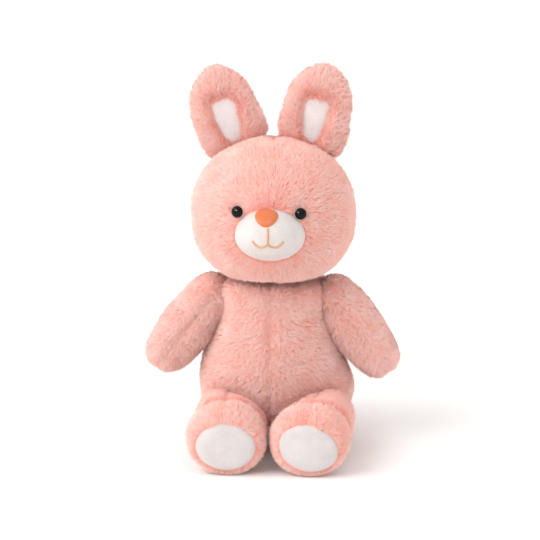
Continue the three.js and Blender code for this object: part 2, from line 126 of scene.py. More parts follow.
def ramp(nodes, stops):
    """A colour ramp with (place, (r, g, b)) stops, in linear colour."""
    node = nodes.new("ShaderNodeValToRGB")
    elements = node.color_ramp.elements
    while len(elements) < len(stops):
        elements.new(0.5)
    for element, (place, colour) in zip(elements, stops):
        element.position = place
        element.color = (*colour, 1)
    return node


def tint(links, nodes, shader, height, stops):
    """Colours a shader along a ramp, by a texture's height."""
    tone = ramp(nodes, stops)
    links.new(height, tone.inputs["Fac"])
    links.new(tone.outputs["Color"], shader.inputs["Base Color"])


def roughen(links, nodes, shader, height, strength, distance):
    """Gives a shader fine relief, by a texture's height."""
    relief = nodes.new("ShaderNodeBump")
    relief.inputs["Strength"].default_value = strength
    relief.inputs["Distance"].default_value = distance
    links.new(height, relief.inputs["Height"])
    links.new(relief.outputs["Normal"], shader.inputs["Normal"])


def linear(hexcode):
    """An sRGB hex colour in linear light."""
    values = [int(hexcode[i : i + 2], 16) / 255 for i in (0, 2, 4)]
    return tuple(v / 12.92 if v <= 0.04045 else ((v + 0.055) / 1.055) ** 2.4 for v in values)


def pile_material(name, roots, tips):
    """Pile whose tone is laid out in its map: across is light against dark, up is root to tip. The roots'
    darker, more saturated colours are painted shade deep in the pile.
    """
    material, nodes, links, shader = new_material(name, 0.85, sheen=0.25, specular=0.12)
    place = nodes.new("ShaderNodeUVMap")
    place.uv_map = "OFBake"
    split = nodes.new("ShaderNodeSeparateXYZ")
    links.new(place.outputs["UV"], split.inputs["Vector"])
    ends = []
    for colours in (roots, tips):
        node = ramp(nodes, [(share, linear(colour)) for share, colour in zip((0.0, 0.5, 1.0), colours)])
        links.new(split.outputs["X"], node.inputs["Fac"])
        ends.append(node)
    mix = nodes.new("ShaderNodeMix")
    mix.data_type = "RGBA"
    links.new(split.outputs["Y"], mix.inputs["Factor"])
    links.new(ends[0].outputs["Color"], mix.inputs["A"])
    links.new(ends[1].outputs["Color"], mix.inputs["B"])
    links.new(mix.outputs["Result"], shader.inputs["Base Color"])
    return material


# Roots darker and rosier than tips: painted shade deep in the pile.
PINK_PILE = pile_material(
    "pink_pile", ("ff8f79", "ffaf9e", "ffc3b6"), ("ffa694", "ffd5cb", "ffede8")
)
WHITE_PILE = pile_material(
    "white_pile", ("e8e1dd", "f2edea", "f9f6f4"), ("f6f2f0", "fdfbf9", "ffffff")
)


def nap_material(name, dark, light, scale=900, bump=0.25, sheen=0.35):
    """Smooth short-nap plush: a fine mottle of two tones under a felted surface."""
    material, nodes, links, shader = new_material(name, 0.85, sheen=sheen, specular=0.15)
    where = nodes.new("ShaderNodeTexCoord")
    fine = nodes.new("ShaderNodeTexNoise")
    fine.inputs["Scale"].default_value = scale
    fine.inputs["Detail"].default_value = 3
    broad = nodes.new("ShaderNodeTexNoise")
    broad.inputs["Scale"].default_value = scale / 12
    for texture in (fine, broad):
        links.new(where.outputs["Object"], texture.inputs["Vector"])
    both = nodes.new("ShaderNodeMath")
    both.operation = "MULTIPLY_ADD"
    both.inputs[1].default_value = 0.5
    links.new(fine.outputs["Fac"], both.inputs[0])
    half = nodes.new("ShaderNodeMath")
    half.operation = "MULTIPLY"
    half.inputs[1].default_value = 0.5
    links.new(broad.outputs["Fac"], half.inputs[0])
    links.new(half.outputs["Value"], both.inputs[2])
    tint(links, nodes, shader, both.outputs["Value"], [(0.35, linear(dark)), (0.65, linear(light))])
    roughen(links, nodes, shader, fine.outputs["Fac"], bump, 0.4 * MM)
    return material


def thread_material(name, dark, light, pitch, roughness=0.45, axis="X"):
    """Glossy embroidery floss: fine parallel threads."""
    material, nodes, links, shader = new_material(name, roughness, sheen=0.2, specular=0.45)
    where = nodes.new("ShaderNodeTexCoord")
    wave = nodes.new("ShaderNodeTexWave")
    wave.bands_direction = axis
    wave.inputs["Scale"].default_value = 0.5 / pitch
    wave.inputs["Distortion"].default_value = 1.2
    wave.inputs["Detail"].default_value = 2
    links.new(where.outputs["Object"], wave.inputs["Vector"])
    # The colour follows the relief's bands: painted shade in the grooves between threads, lighter on their
    # crowns.
    tint(links, nodes, shader, wave.outputs["Fac"], [(0.0, linear(dark)), (1.0, linear(light))])
    roughen(links, nodes, shader, wave.outputs["Fac"], 0.5, 0.2 * MM)
    return material


def moulded_material(name, colour, roughness, coat, specular=0.5):
    """Moulded plastic with a faint orange peel."""
    material, nodes, links, shader = new_material(name, roughness, coat=coat, specular=specular)
    texture = nodes.new("ShaderNodeTexNoise")
    texture.inputs["Scale"].default_value = 400
    where = nodes.new("ShaderNodeTexCoord")
    links.new(where.outputs["Object"], texture.inputs["Vector"])
    dark = tuple(v * 0.8 for v in linear(colour))
    tint(links, nodes, shader, texture.outputs["Fac"], [(0.3, dark), (0.7, linear(colour))])
    roughen(links, nodes, shader, texture.outputs["Fac"], 0.05, 0.1 * MM)
    return material


MINKY = nap_material("white_minky", "d0c8c4", "ddd6d3")
SOLE_MINKY = nap_material("sole_minky", "c9c2c1", "d6d0cf")
LINING_MINKY = nap_material("lining_minky", "d7cbc9", "e5dcdb")
WADDING = nap_material("polyester_wadding", "e2e2de", "fbfbf8", scale=160, bump=0.9)
COTTON = nap_material("bag_cotton", "d8d2c4", "ece8df", scale=1500, bump=0.4, sheen=0.1)
TAPE = nap_material("label_tape", "cfcfce", "e6e6e4", scale=1800, bump=0.3, sheen=0.1)
SATIN = thread_material("nose_satin", "d0642f", "ea8348", pitch=0.45 * MM, roughness=0.38)
MOUTH_THREAD = thread_material("mouth_thread", "cd8c55", "e8ae79", pitch=0.8 * MM, axis="DIAGONAL")
PLASTIC = moulded_material("eye_plastic", "030303", 0.1, 0.0, 0.2)
WASHER = moulded_material("washer_plastic", "e6e6e1", 0.5, 0.0)

# ------------------------------------------------------------------ meshes


def mesh_object(name, points, faces, smooth=True):
    mesh = bpy.data.meshes.new(name)
    mesh.from_pydata([tuple(p) for p in points], [], [tuple(f) for f in faces])
    mesh.update()
    if smooth:
        mesh.shade_smooth()
    return show(bpy.data.objects.new(name, mesh))


def show(thing):
    """Puts a new object in the scene."""
    bpy.context.scene.collection.objects.link(thing)
    return thing


def copy_of(thing):
    made = thing.copy()
    made.data = made.data.copy()
    return show(made)


def points_of(thing):
    """A mesh object's vertices as rows."""
    points = np.empty(len(thing.data.vertices) * 3)
    thing.data.vertices.foreach_get("co", points)
    return points.reshape(-1, 3)


def normals_of(thing):
    normals = np.empty(len(thing.data.vertices) * 3)
    thing.data.vertices.foreach_get("normal", normals)
    return normals.reshape(-1, 3)


def set_points(thing, points):
    thing.data.vertices.foreach_set("co", np.ascontiguousarray(points).ravel())
    thing.data.update()


def apply_modifiers(thing):
    """Turns the object's modifiers into its mesh."""
    ready = thing.evaluated_get(bpy.context.evaluated_depsgraph_get())
    mesh = bpy.data.meshes.new_from_object(ready)
    thing.modifiers.clear()
    thing.data = mesh


def hull_of(name, nodes):
    """The closed form that wraps some nodes of the frame."""
    cloud = bmesh.new()
    for node in nodes:
        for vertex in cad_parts[node].data.vertices:
            cloud.verts.new(vertex.co)
    hull = bmesh.ops.convex_hull(cloud, input=cloud.verts)
    inside = hull["geom_interior"] + hull["geom_unused"]
    spare = {part for part in inside if isinstance(part, bmesh.types.BMVert)}
    bmesh.ops.delete(cloud, geom=list(spare), context="VERTS")
    bmesh.ops.recalc_face_normals(cloud, faces=cloud.faces)
    mesh = bpy.data.meshes.new(name)
    cloud.to_mesh(mesh)
    cloud.free()
    return show(bpy.data.objects.new(name, mesh))


def remesh(thing, voxel):
    modifier = thing.modifiers.new("remesh", "REMESH")
    modifier.mode = "VOXEL"
    modifier.voxel_size = voxel
    apply_modifiers(thing)


def relax(thing, rounds):
    modifier = thing.modifiers.new("relax", "SMOOTH")
    modifier.factor = 0.5
    modifier.iterations = rounds
    apply_modifiers(thing)


def finer(thing):
    modifier = thing.modifiers.new("finer", "SUBSURF")
    modifier.levels = 1
    apply_modifiers(thing)


def shrink(thing, depth):
    """Moves the surface inwards along its normals."""
    set_points(thing, points_of(thing) - normals_of(thing) * depth)


def cloth_folds(thing, held, most):
    """The unevenness of cloth under pressure, held where it is sewn: its height over its middle height."""
    before, normals = points_of(thing), normals_of(thing)
    group = thing.vertex_groups.new(name="sewn")
    for index, hold in enumerate(held):
        if hold > 0.02:
            group.add([index], float(hold), "REPLACE")
    settings = thing.modifiers.new("cloth", "CLOTH").settings
    settings.use_pressure = True
    settings.uniform_pressure_force = 4
    settings.vertex_group_mass = "sewn"
    settings.pin_stiffness = 2
    settings.effector_weights.gravity = 0
    scene = bpy.context.scene
    for step in range(1, 21):
        scene.frame_set(step)
        bpy.context.view_layer.update()
    apply_modifiers(thing)
    scene.frame_set(1)
    thing.vertex_groups.clear()
    height = np.sum((points_of(thing) - before) * normals, 1)
    height -= np.median(height[held < 0.02])
    set_points(thing, before)
    limit = FOLD_SHARE * most
    return np.clip(height, -limit, limit) * (1 - held)


def inflate(thing, seams, most):
    """Swells the form by a set amount between its seams, with the unevenness of simulated cloth.

    The simulated cloth draws in all over, so its own height isn't used.
    """
    held = seam_hold(points_of(thing), seams)
    folds = cloth_folds(thing, held, most)
    rise = most * (1 - held) + folds
    set_points(thing, points_of(thing) + normals_of(thing) * rise[:, None])


def seam_hold(points, seams):
    """How firmly each point is held by the seams, from 0 to 1."""
    hold = np.zeros(len(points))
    for distance in seams:
        hold = np.maximum(hold, np.clip(1 - np.abs(distance(points)) / SEAM_HOLD_REACH, 0, 1))
    return hold


def plane(point, normal, where=None):
    """The signed distance to a plane. Where where fails there is no seam: the plane is far away."""
    point, normal = np.array(point), unit(np.array(normal, float))
    if where is None:
        return lambda points: (points - point) @ normal
    return lambda points: np.where(where(points), (points - point) @ normal, 1.0)


def cut(thing, planes):
    """Cuts the mesh's faces along planes, given as (point, normal)."""
    work = bmesh.new()
    work.from_mesh(thing.data)
    for point, normal in planes:
        everything = work.verts[:] + work.edges[:] + work.faces[:]
        bmesh.ops.bisect_plane(work, geom=everything, dist=0.05 * MM, plane_co=point, plane_no=normal)
    work.to_mesh(thing.data)
    work.free()


def noise3(points, scale, seed=0.0):
    """Smooth vector noise at each point, one feature per scale metres."""
    out = np.empty((len(points), 3))
    offset = Vector((seed, seed * 1.7, seed * 0.6))
    for i, point in enumerate(points / scale):
        out[i] = noise.noise_vector(Vector(point) + offset)
    return out


# ------------------------------------------------------------------ pile strands


def sample(thing, keep, per_mm2):
    """Even random places on the faces whose centre passes keep: points, normals."""
    mesh = thing.data
    mesh.calc_loop_triangles()
    count = len(mesh.loop_triangles)
    corners = np.empty(count * 3, int)
    mesh.loop_triangles.foreach_get("vertices", corners)
    corners = corners.reshape(-1, 3)
    points, normals = points_of(thing), normals_of(thing)
    a, b, c = (points[corners[:, i]] for i in range(3))
    area = np.linalg.norm(np.cross(b - a, c - a), axis=1) / 2
    area *= keep((a + b + c) / 3)
    total = int(area.sum() / MM**2 * per_mm2)
    if not total:
        return np.empty((0, 3)), np.empty((0, 3))
    pick = rng.choice(count, total, p=area / area.sum())
    u, v = rng.random(total), rng.random(total)
    over = u + v > 1
    u[over], v[over] = 1 - u[over], 1 - v[over]
    weights = np.stack([1 - u - v, u, v], 1)
    place = sum(weights[:, i : i + 1] * points[corners[pick, i]] for i in range(3))
    normal = sum(weights[:, i : i + 1] * normals[corners[pick, i]] for i in range(3))
    return place, unit(normal)


def strands(place, normal, comb, tone, length, lean=1.0):
    """Vertices, faces, map and shading normals of pile that leans along comb."""
    count = len(place)
    swirl = noise3(place, 13 * MM, 3.0)
    fine = noise3(place, 3.4 * MM, 8.0)
    way = comb + 1.1 * swirl + 1.5 * fine + 0.45 * rng.normal(size=(count, 3))
    # Brushed back from the middle of the front and of the back towards the sides.
    way[:, 1] -= BRUSHED_ASIDE * np.tanh(6 * normal[:, 1])
    way -= normal * np.sum(way * normal, 1, keepdims=True)
    way = unit(way)
    # Clumps: each strand's tip is drawn towards the nearest clump's middle.
    clumps = rng.choice(count, max(count // STRANDS_PER_CLUMP, 1), replace=False)
    tree = kdtree.KDTree(len(clumps))
    for slot, index in enumerate(clumps):
        tree.insert(Vector(place[index]), slot)
    tree.balance()
    nearest = np.array([tree.find(Vector(p))[1] for p in place])
    middle = place[clumps][nearest]
    tall = length * (0.75 + 0.5 * rng.random(count))[:, None]
    upright = rng.random(count) < UPRIGHT_SHARE
    low_angle, tip_angle = (np.where(upright, *pair) for pair in zip(UPRIGHT, LYING))
    rise = np.radians(low_angle + rng.normal(0, 9, count) * lean)[:, None]
    bend = np.radians(tip_angle + rng.normal(0, 8, count) * lean)[:, None]
    half = place + tall * 0.5 * (normal * np.cos(rise) + way * np.sin(rise))
    tip = half + tall * 0.5 * (normal * np.cos(bend) + way * np.sin(bend))
    pull = (middle - place) - normal * np.sum((middle - place) * normal, 1, keepdims=True)
    tip = tip + 0.45 * pull
    half = half + 0.18 * pull
    across = np.cross(tip - place, normal + 0.12 * rng.normal(size=(count, 3)))
    across = unit(across) * PILE_WIDTH / 2 * (0.7 + 0.6 * rng.random(count))[:, None]
    points = np.empty((count, 5, 3))
    points[:, 0] = place - across - normal * 0.3 * MM
    points[:, 1] = place + across - normal * 0.3 * MM
    points[:, 2] = half + across * 0.85
    points[:, 3] = half - across * 0.85
    points[:, 4] = tip
    # No strand reaches below the floor.
    points[..., 2] = np.maximum(points[..., 2], 0.2 * MM)
    first = np.arange(count)[:, None] * 5
    quads = first + np.array([0, 1, 2, 3])
    tris = first + np.array([3, 2, 4])
    flat = unit(np.cross(half - place, across))
    flat *= np.sign(np.sum(flat * normal, 1, keepdims=True) + 1e-9)
    shade = unit(normal + 0.5 * flat + 0.1 * rng.normal(size=(count, 3)))
    tone = np.clip(tone + 0.1 * rng.normal(size=count), *TONE_LIMITS)
    wide = 0.004
    up = np.array([0.04, 0.04, 0.55, 0.55, 0.96])
    side = np.array([0, 1, 1, 0, 0.5])
    uv = np.stack([tone[:, None] + wide * side, np.broadcast_to(up, (count, 5))], -1)
    return points, quads, tris, np.repeat(shade[:, None], 5, 1), uv


def everywhere(points):
    """Pile grows at all of the points."""
    return np.ones(len(points))


def grow(thing, comb, tone, material, keep=everywhere, length=PILE, lean=1.0):
    """Joins pile to a panel's mesh. comb and tone are functions of points and normals."""
    place, normal = sample(thing, keep, PILE_PER_MM2)
    base_points, base_normals = points_of(thing), normals_of(thing)
    faces = [tuple(face.vertices) for face in thing.data.polygons]
    base_tone = np.clip(tone(base_points, base_normals), 0.01, 0.98)
    points, quads, tris, shade, uv = strands(
        place, normal, comb(place, normal), tone(place, normal), length, lean
    )
    start = len(base_points)
    base_loops = np.array([i for face in faces for i in face], int)
    loops = np.concatenate([base_loops, (quads + start).ravel(), (tris + start).ravel()])
    base_sizes = [len(face) for face in faces]
    sizes = np.concatenate([base_sizes, np.full(len(quads), 4), np.full(len(tris), 3)]).astype(int)
    corners = np.concatenate([[0], np.cumsum(sizes)[:-1]]).astype(int)
    everything = np.concatenate([base_points, points.reshape(-1, 3)])
    all_normals = np.concatenate([base_normals, shade.reshape(-1, 3)])
    mesh = bpy.data.meshes.new(thing.name)
    mesh.vertices.add(len(everything))
    mesh.vertices.foreach_set("co", everything.ravel())
    mesh.loops.add(len(loops))
    mesh.loops.foreach_set("vertex_index", loops)
    mesh.polygons.add(len(sizes))
    mesh.polygons.foreach_set("loop_start", corners)
    mesh.update(calc_edges=True)
    uvs = np.empty((len(loops), 2))
    in_base = loops < start
    nth = np.arange(in_base.sum()) - np.repeat(corners[: len(faces)], sizes[: len(faces)])
    uvs[in_base, 0] = base_tone[loops[in_base]] * 0.98 + 0.004 * (nth % 2)
    uvs[in_base, 1] = 0.01 + 0.01 * (nth // 2)
    uvs[~in_base] = uv.reshape(-1, 2)[loops[~in_base] - start]
    layer = mesh.uv_layers.new(name="OFBake")
    layer.data.foreach_set("uv", uvs.ravel())
    mesh.shade_smooth()
    mesh.normals_split_custom_set_from_vertices(all_normals)
    mesh.materials.append(material)
    thing.data = mesh


# ------------------------------------------------------------------ panels


def split(thing, owners):
    """One new object for each node in owners, with the faces that its test claims first."""
    points = points_of(thing)
    faces = [tuple(face.vertices) for face in thing.data.polygons]
    centres = np.array([points[list(face)].mean(0) for face in faces])
    free = np.ones(len(faces), bool)
    made = {}
    for node, test in owners.items():
        mine = free & test(centres)
        free &= ~mine
        chosen = [faces[i] for i in np.flatnonzero(mine)]
        used = np.array(sorted({v for face in chosen for v in face}), int)
        back = {v: i for i, v in enumerate(used)}
        renumbered = [[back[v] for v in face] for face in chosen]
        made[node] = mesh_object(node + "_cloth", points[used], renumbered)
    bpy.data.objects.remove(thing)
    return made


def between(node):
    """The middle of a frame node's box."""
    low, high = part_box(node)
    return (low + high) / 2


def settle(piece, node, bodies, ends=None):
    """Names a piece after the node it stands for and hides that node. Without ends it rides with its first
    body; with ends its place is baked into its mesh.

    tight, which fill takes, is not used.
    """
    piece.name = node + "_piece"
    piece.data.name = piece.name
    if ends:
        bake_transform(piece)
    else:
        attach(piece, bodies[0])
    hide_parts(node)


def the_rest(centres):
    """Claims every face that is left."""
    return np.ones(len(centres), bool)


def quarters(name, seam_y):
    """What each of a form's four panels claims, in turn."""
    return {
        f"{name}_front_left": lambda c: (c[:, 0] < 0) & (c[:, 1] < seam_y),
        f"{name}_front_right": lambda c: c[:, 1] < seam_y,
        f"{name}_back_left": lambda c: c[:, 0] < 0,
        f"{name}_back_right": the_rest,
    }


def groove(thing, distance, depth=0.8 * MM, width=SEAM_WIDTH, where=None):
    """Sinks the surface along a seam, where says how much at each point."""
    points = points_of(thing)
    sink = depth * near_zero(distance(points), width)
    if where:
        sink = sink * where(points)
    set_points(thing, points - normals_of(thing) * sink[:, None])


def dent(thing, centre, depth, width):
    """Presses the surface in round a point."""
    points = points_of(thing)
    sink = depth * near_zero(away_from(points, centre), width)
    set_points(thing, points - normals_of(thing) * sink[:, None])


def crumple(thing, amount, scale, seed):
    """Soft unevenness of stuffing under fabric."""
    points = points_of(thing)
    lump = noise3(points, scale, seed)[:, :1]
    set_points(thing, points + normals_of(thing) * lump * amount)


def stuffed(name, nodes, seams, voxel=4 * MM, bulge=2.2 * MM, rounds=10, swell=0.0):
    """The closed backing of a stuffed form: wrapped, remeshed and swollen between its seams."""
    form = hull_of(name, nodes)
    remesh(form, voxel)
    relax(form, rounds)
    shrink(form, SKIN - 0.8 * MM + bulge - swell)
    inflate(form, seams, bulge)
    finer(form)
    return form


def tree_of(thing):
    """A search tree of the object's surface, as it is now."""
    faces = [tuple(face.vertices) for face in thing.data.polygons]
    return BVHTree.FromPolygons([Vector(point) for point in points_of(thing)], faces)


def wad(form, depth=2.0 * MM, lump=0.7 * MM, seed=1.0):
    """A lumpy wad of stuffing inside a form."""
    inner = copy_of(form)
    shrink(inner, depth)
    crumple(inner, lump, 9 * MM, seed)
    inner.data.materials.clear()
    inner.data.materials.append(WADDING)
    inner.data.shade_smooth()
    return inner


def fill(form, node, bodies, tight, ends=None, **lumps):
    """Stuffing inside a form, as the piece that stands for its node."""
    inner = wad(form, **lumps)
    settle(inner, node, bodies, ends)


def cover(form, owners, comb, tone, bodies, ends=None, keep=everywhere):
    """Cuts a form into its panels, grows their pile and settles each of them."""
    for node, panel in split(form, owners).items():
        grow(panel, comb, tone, PINK_PILE, keep=keep)
        settle(panel, node, bodies, ends)


def tone_of(seams, near=(), base=0.7):
    """How light the pile is: mottled, with painted shade along the seams and beside other forms."""

    def tone(points, normals):
        value = base + 0.2 * noise3(points, 11 * MM, 21.0)[:, 0]
        value += 0.1 * noise3(points, 30 * MM, 5.0)[:, 1]
        # Painted shade in the creases of the seams.
        for distance in seams:
            value -= 0.16 * near_zero(distance(points), SEAM_WIDTH)
        # Painted shade where other forms come close.
        for tree in near:
            gap = np.array([tree.find_nearest(Vector(p))[3] for p in points])
            value -= 0.3 * np.exp(-gap / (4 * MM))
        return value

    return tone


def radial(centre, down=0.0):
    """Combs the pile away from a point."""
    centre = np.array(centre)

    def comb(points, normals):
        return unit(points - centre) * 1.6 + np.array([0, 0, -down])

    return comb


def along(direction):
    """Combs the pile one way."""
    direction = np.array(direction, float)

    def comb(points, normals):
        return np.broadcast_to(direction * 1.6, points.shape)

    return comb


# ------------------------------------------------------------------ patches of smooth plush


def face_out(thing):
    """Turns a mesh's faces to agree with each other and, where it is closed, outwards."""
    work = bmesh.new()
    work.from_mesh(thing.data)
    bmesh.ops.recalc_face_normals(work, faces=work.faces)
    work.to_mesh(thing.data)
    work.free()


def band_faces(rows, sides):
    """Faces between rows of points, each row closed round."""
    faces = []
    for row in range(rows - 1):
        for i in range(sides):
            a, b = row * sides + i, row * sides + (i + 1) % sides
            faces.append((a, b, b + sides, a + sides))
    return faces


def dome_faces(rings, spokes):
    """Faces of a dome: a point in the middle and rings of points round it."""
    faces = [(0, 1 + i, 1 + (i + 1) % spokes) for i in range(spokes)]
    for ring in range(rings - 1):
        for i in range(spokes):
            a = 1 + ring * spokes + i
            b = 1 + ring * spokes + (i + 1) % spokes
            faces.append((a, a + spokes, b + spokes, b))
    return faces


def patch(
    name, tree, centre, outline, material, puff, lift, right=(1, 0, 0), up=(0, 0, 1),
    sink=0.8 * MM, rings=14, spokes=56,
):
    """A padded patch laid on a surface from in front. outline(angle) gives its edge across right and up."""
    centre, right, up, into = (Vector(v) for v in (centre, right, up, (0, 1, 0)))
    points = []

    def land(x, y, share):
        start = centre + right * x + up * y - into * 80 * MM
        hit, normal = tree.ray_cast(start, into)[:2]
        if hit is None:
            hit, normal = tree.find_nearest(start + into * 80 * MM)[:2]
        if normal.dot(into) > 0:
            normal = -normal
        height = lift + puff * (1 - share**4) - (sink + lift) * share**16
        return hit + normal * height

    points.append(land(0, 0, 0))
    for ring in range(1, rings + 1):
        share = math.sin(ring / rings * math.pi / 2)
        for spoke in range(spokes):
            x, y = outline(2 * math.pi * spoke / spokes)
            points.append(land(x * share, y * share, share))
    made = mesh_object(name, points, dome_faces(rings, spokes))
    face_out(made)
    if made.data.polygons[0].normal.dot(into) > 0:
        made.data.flip_normals()
    made.data.shade_smooth()
    made.data.materials.append(material)
    return made


def tube(name, points, radius, stitch=0.0):
    """A thread along points. With a stitch length, it is pinched between stitches."""
    sides = 10
    points = [Vector(p) for p in points]
    rows = []
    travelled = 0.0
    for i, point in enumerate(points):
        before, after = points[max(i - 1, 0)], points[min(i + 1, len(points) - 1)]
        if i:
            travelled += (point - points[i - 1]).length
        forward = (after - before).normalized()
        side = forward.cross(Vector((0, -1, 0.01))).normalized()
        out = side.cross(forward)
        thick = radius
        if stitch:
            thick *= 0.72 + 0.28 * abs(math.sin(math.pi * travelled / stitch))
        if i in (0, len(points) - 1):
            thick *= 0.4
        for k in range(sides):
            angle = 2 * math.pi * k / sides
            rows.append(point + (side * math.cos(angle) + out * math.sin(angle)) * thick)
    faces = band_faces(len(points), sides)
    faces.append(tuple(range(sides))[::-1])
    faces.append(tuple((len(points) - 1) * sides + k for k in range(sides)))
    return mesh_object(name, rows, faces)


# ------------------------------------------------------------------ head

MUZZLE = Vector((0.6, -48, 192.3)) * MM
MUZZLE_HALF = Vector((29.8, 34, 23.2)) * MM
NOSE = MUZZLE + Vector((0, -30, 14)) * MM
NOSE_HALF = (9.6 * MM, 6.0 * MM)
CHIN = Vector((0, -48, 160)) * MM
EYE_HEIGHT = {"left": 211.2, "right": 210.2}
EYE_RADIUS = 4.9 * MM
EYE_DOME = 3.9 * MM  # how far the bead stands out of its rim
EYE_APART = 27 * MM  # from the middle of the face
EYE_SUNK = 2.2 * MM


def eye_place(side):
    """Where an eye sits: its middle and the way it looks."""
    sign = SIDES[side]
    away = Vector((sign * EYE_APART, 0, EYE_HEIGHT[side] * MM - HEAD.z))
    ahead = math.sqrt(1 - (away.x / HEAD_HALF.x) ** 2 - (away.z / HEAD_HALF.z) ** 2)
    point = Vector((away.x, HEAD.y - HEAD_HALF.y * ahead, HEAD.z + away.z))
    steepness = Vector((away.x / HEAD_HALF.x**2, -ahead / HEAD_HALF.y, away.z / HEAD_HALF.z**2))
    normal = steepness.normalized()
    return point - normal * EYE_SUNK, normal


def chin_pressed(height):
    """Heights near the bottom of the head, pressed flat where it sits on the body."""
    floor = HEAD.z - HEAD_HALF.z + 11 * MM
    return np.where(height < floor, floor - (floor - height) * 0.5, height)


def head_form():
    def off_face(points):
        return (points[:, 1] > -20 * MM) | (points[:, 2] < 158 * MM)

    seams = [plane((0, 0, 0), (1, 0, 0), off_face), plane((0, HEAD_SEAM_Y, 0), (0, 1, 0))]
    form = stuffed("head", [f"head_{e}_{s}" for e in ("front", "back") for s in SIDES], seams)
    for side in SIDES:
        dent(form, eye_place(side)[0], 2.6 * MM, 8 * MM)
    dent(form, HEAD + Vector((0, 0, HEAD_HALF.z)), 4.4 * MM, 5.5 * MM)
    crumple(form, 0.9 * MM, 26 * MM, 2.0)
    for seam in seams:
        groove(form, seam)
    points = points_of(form)
    points[:, 2] = chin_pressed(points[:, 2])
    set_points(form, points)
    return form, seams


def muzzle_share(points):
    """0 over the middle of the muzzle and 1 at its edge."""
    across = (points[:, 0] - MUZZLE.x) / MUZZLE_HALF.x
    up = (points[:, 2] - MUZZLE.z) / MUZZLE_HALF.z
    return np.sqrt(across**2 + up**2)


def muzzle_surface(grow=0.0):
    """A plain grid of the muzzle's dome, for laying things on."""
    rings, spokes = 40, 72
    points = [MUZZLE - Vector((0, MUZZLE_HALF.y + grow, 0))]
    for ring in range(1, rings + 1):
        share = math.sin(ring / rings * math.pi / 2)
        for spoke in range(spokes):
            angle = 2 * math.pi * spoke / spokes
            x = (MUZZLE_HALF.x + grow) * share * math.cos(angle)
            z = (MUZZLE_HALF.z + grow) * share * math.sin(angle)
            y = -(MUZZLE_HALF.y + grow) * math.cos(ring / rings * math.pi / 2)
            x *= 1 - 0.06 * math.sin(angle) * share
            points.append(MUZZLE + Vector((x, y, z)))
    return points, [face[::-1] for face in dome_faces(rings, spokes)]


def make_eye(side):
    point, normal = eye_place(side)
    rings, spokes = 12, 32
    turn = normal.to_track_quat("Z", "Y").to_matrix()
    profile = [(EYE_RADIUS * 0.55, -1.4 * MM), (EYE_RADIUS * 0.98, -0.7 * MM)]
    for ring in range(rings + 1):
        angle = math.pi / 2 * ring / rings
        profile.append((EYE_RADIUS * math.cos(angle), EYE_DOME * math.sin(angle)))
    points = []
    for radius, height in profile[:-1]:
        for spoke in range(spokes):
            angle = 2 * math.pi * spoke / spokes
            place = Vector((radius * math.cos(angle), radius * math.sin(angle), height))
            points.append(point + turn @ place)
    points.append(point + turn @ Vector((0, 0, profile[-1][1])))
    faces = band_faces(len(profile) - 1, spokes)
    last = (len(profile) - 2) * spokes
    faces += [(last + i, last + (i + 1) % spokes, len(points) - 1) for i in range(spokes)]
    faces.append(tuple(range(spokes))[::-1])
    eye = mesh_object(f"eye_{side}", points, faces)
    eye.data.materials.append(PLASTIC)
    settle(eye, f"eye_{side}", ["head"])


def make_face():
    points, faces = muzzle_surface()
    dome = mesh_object("muzzle", points, faces)
    dome.data.materials.append(MINKY)
    tree = tree_of(dome)
    settle(dome, "muzzle_cover", ["head"])
    points, faces = muzzle_surface(-2.2 * MM)
    inner = mesh_object("muzzle_wad", points, faces)
    crumple(inner, 0.4 * MM, 6 * MM, 4.0)
    inner.data.materials.append(WADDING)
    settle(inner, "muzzle_wadding", ["head"])

    def nose_edge(angle):
        """Broader above than below."""
        x = NOSE_HALF[0] * math.cos(angle) * (1 + 0.26 * math.sin(angle))
        return x, NOSE_HALF[1] * math.sin(angle)

    nose = patch(
        "nose", tree, MUZZLE + Vector((-1.8, 0, 16.0)) * MM, nose_edge, SATIN,
        puff=3.0 * MM, lift=0.3 * MM, sink=0.5 * MM, rings=16, spokes=64,
    )
    settle(nose, "nose", ["head"])

    def on_muzzle(x, z):
        hit, normal = tree.ray_cast(MUZZLE + Vector((x, -90 * MM, z)), Vector((0, 1, 0)))[:2]
        return hit + (normal if normal.y < 0 else -normal) * 0.35 * MM

    def smile(t):
        """A point of the smile, t from -1 at the left corner to 1 at the right one."""
        x = 12.8 * MM * t
        low = 1 - (2 * abs(t) - 0.95) ** 2
        return x + 0.2 * MM, (-2.9 - 3.3 * low + 1.6 * abs(t) ** 4) * MM

    thread = 0.85 * MM
    steps = 72
    stitch = 2.1 * MM
    down = [on_muzzle(0.2 * MM, (9.5 - 12.6 * i / 24) * MM) for i in range(25)]
    line = tube("mouth", down, thread, stitch=stitch)
    curve = [on_muzzle(*smile(-1 + 2 * i / steps)) for i in range(steps + 1)]
    arcs = tube("arcs", curve, thread, stitch=stitch)
    join([line, arcs])
    line.data.materials.append(MOUTH_THREAD)
    settle(line, "mouth_stitch", ["head"])


def join(things):
    """Joins mesh objects into the first one."""
    work = bmesh.new()
    for thing in things:
        work.from_mesh(thing.data)
    work.to_mesh(things[0].data)
    work.free()
    for thing in things[1:]:
        bpy.data.objects.remove(thing)
    things[0].data.shade_smooth()


